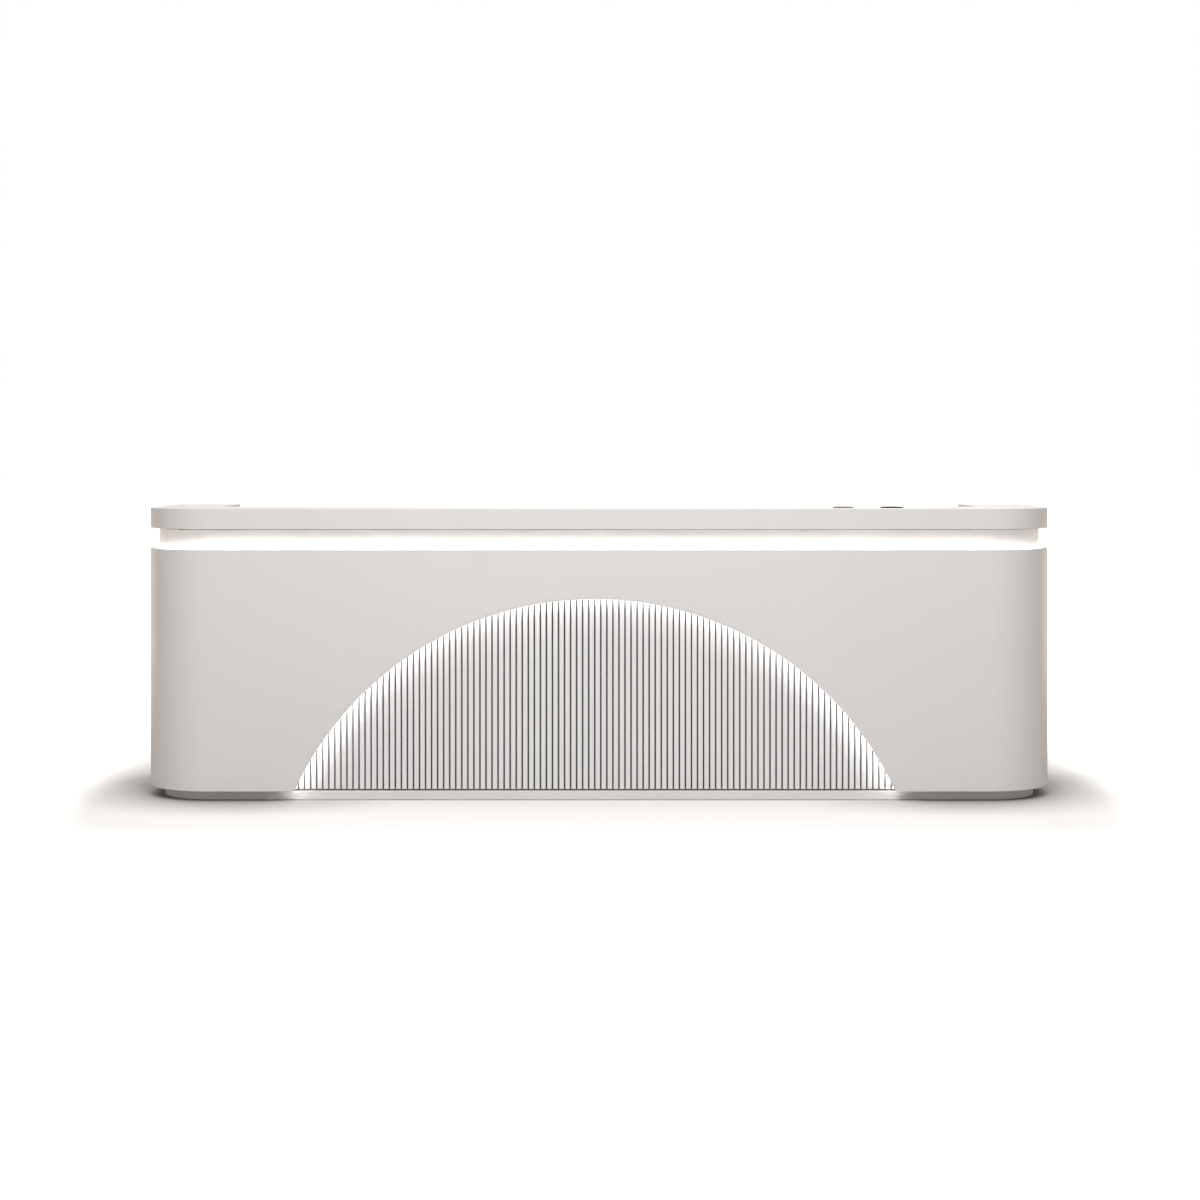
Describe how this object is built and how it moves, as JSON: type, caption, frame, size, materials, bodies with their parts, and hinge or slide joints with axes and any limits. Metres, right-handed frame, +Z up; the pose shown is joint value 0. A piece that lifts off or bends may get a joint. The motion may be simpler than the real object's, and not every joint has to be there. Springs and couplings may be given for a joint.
{
  "type": "checkout counter",
  "caption": "Rounded white checkout counter: U-shaped top over a lit recess, arched front with backlit slats; worktop, drawers, cupboard and keyboard tray behind.",
  "frame": {"origin": "on the floor, in the middle of the footprint", "axes": "+X along the counter, to the right as a customer sees it; +Y from the customer face to the staff edge; +Z up"},
  "size_m": [3.144, 0.7, 1.004],
  "materials": {
    "white_lacquer": "matt white lacquer over board",
    "slat_lacquer": "matt white lacquer over profiled slats",
    "dark_board": "dark stained board",
    "primed_board": "grey primed board",
    "raw_board": "bare particle board and plywood",
    "melamine": "white melamine facing over board",
    "drawer_board": "clear lacquered birch plywood",
    "opal_diffuser": "opal light cover",
    "anodised": "satin anodised",
    "zinc_steel": "zinc plated",
    "handle_steel": "brushed",
    "lock_chrome": "satin chrome",
    "grey_plastic": "satin moulded",
    "black_plastic": "satin moulded",
    "lead_sheath": "flexible sheath"
  },
  "bodies": {
    "counter": {"plinth_front": "white_lacquer", "plinth_rails": "melamine", "front_shell": "white_lacquer", "left_side_panel": "white_lacquer", "right_side_panel": "white_lacquer", "shell_formers": "raw_board", "flute_backing_board": "dark_board", "flute_slats": "slat_lacquer", "arch_led_channel": "anodised", "arch_led_diffuser": "opal_diffuser", "neck_frame": "primed_board", "neck_panel": "white_lacquer", "neck_led_channel": "anodised", "neck_led_diffuser": "opal_diffuser", "cap_top": "white_lacquer", "cap_core": "raw_board", "cap_soffit": "white_lacquer", "front_board": "melamine", "wing_gables": "melamine", "wing_rear_panels": "white_lacquer", "worktop": "melamine", "cabinet_gables": "melamine", "bottom_boards": "melamine", "cupboard_shelf": "melamine", "shelf_pins": "zinc_steel", "niche_dividers": "melamine", "carcass_screws": "zinc_steel", "grey_grommet_sleeve": "grey_plastic", "black_grommet_sleeve": "black_plastic", "worktop_grommet_sleeve": "grey_plastic", "cabinet_runners": "zinc_steel", "tray_hangers": "zinc_steel", "door_pivots": "zinc_steel", "led_driver": "black_plastic", "led_leads": "lead_sheath", "switch_housing": "black_plastic"},
    "top_drawer": {"top_drawer_front": "melamine", "top_drawer_box": "drawer_board", "top_drawer_runners": "zinc_steel", "top_drawer_handle": "handle_steel", "lock_barrel": "lock_chrome"},
    "middle_drawer": {"middle_drawer_front": "melamine", "middle_drawer_box": "drawer_board", "middle_drawer_runners": "zinc_steel", "middle_drawer_handle": "handle_steel"},
    "bottom_drawer": {"bottom_drawer_front": "melamine", "bottom_drawer_box": "drawer_board", "bottom_drawer_runners": "zinc_steel", "bottom_drawer_handle": "handle_steel"},
    "lock": {"lock_plug": "lock_chrome"},
    "tray": {"keyboard_tray": "melamine", "tray_runners": "zinc_steel"},
    "left_cupboard_door": {"left_door": "melamine", "left_door_handle": "handle_steel"},
    "right_cupboard_door": {"right_door": "melamine", "right_door_handle": "handle_steel"},
    "grey_lid": {"grey_grommet_lid": "grey_plastic"},
    "black_lid": {"black_grommet_lid": "black_plastic"},
    "worktop_lid": {"worktop_grommet_lid": "grey_plastic"},
    "rocker": {"switch_rocker": "black_plastic"}
  },
  "joints": [
    {"name": "top_drawer_slide", "type": "slide", "parent": "counter", "child": "top_drawer", "axis": [0, 1, 0], "range_m": [0, 0.38]},
    {"name": "middle_drawer_slide", "type": "slide", "parent": "counter", "child": "middle_drawer", "axis": [0, 1, 0], "range_m": [0, 0.38]},
    {"name": "bottom_drawer_slide", "type": "slide", "parent": "counter", "child": "bottom_drawer", "axis": [0, 1, 0], "range_m": [0, 0.38]},
    {"name": "lock_turn", "type": "hinge", "parent": "top_drawer", "child": "lock", "pos_m": [-0.958, 0.318, 0.7], "axis": [0, 1, 0], "range_deg": [0, 90]},
    {"name": "tray_slide", "type": "slide", "parent": "counter", "child": "tray", "axis": [0, 1, 0], "range_m": [0, 0.2]},
    {"name": "left_door_hinge", "type": "hinge", "parent": "counter", "child": "left_cupboard_door", "pos_m": [0.532, 0.31, 0.389], "axis": [0, 0, 1], "range_deg": [0, 105]},
    {"name": "right_door_hinge", "type": "hinge", "parent": "counter", "child": "right_cupboard_door", "pos_m": [1.323, 0.31, 0.389], "axis": [0, 0, -1], "range_deg": [0, 90]},
    {"name": "grey_lid_turn", "type": "hinge", "parent": "counter", "child": "grey_lid", "pos_m": [0.849, -0.2, 1], "axis": [0, 0, 1], "continuous": true},
    {"name": "black_lid_turn", "type": "hinge", "parent": "counter", "child": "black_lid", "pos_m": [1.018, -0.2, 1], "axis": [0, 0, 1], "continuous": true},
    {"name": "worktop_lid_turn", "type": "hinge", "parent": "counter", "child": "worktop_lid", "pos_m": [0.25, -0.15, 0.75], "axis": [0, 0, 1], "continuous": true},
    {"name": "rocker_tilt", "type": "hinge", "parent": "counter", "child": "rocker", "pos_m": [0.45, 0.328, 0.714], "axis": [-1, 0, 0], "range_deg": [0, 12]}
  ]
}
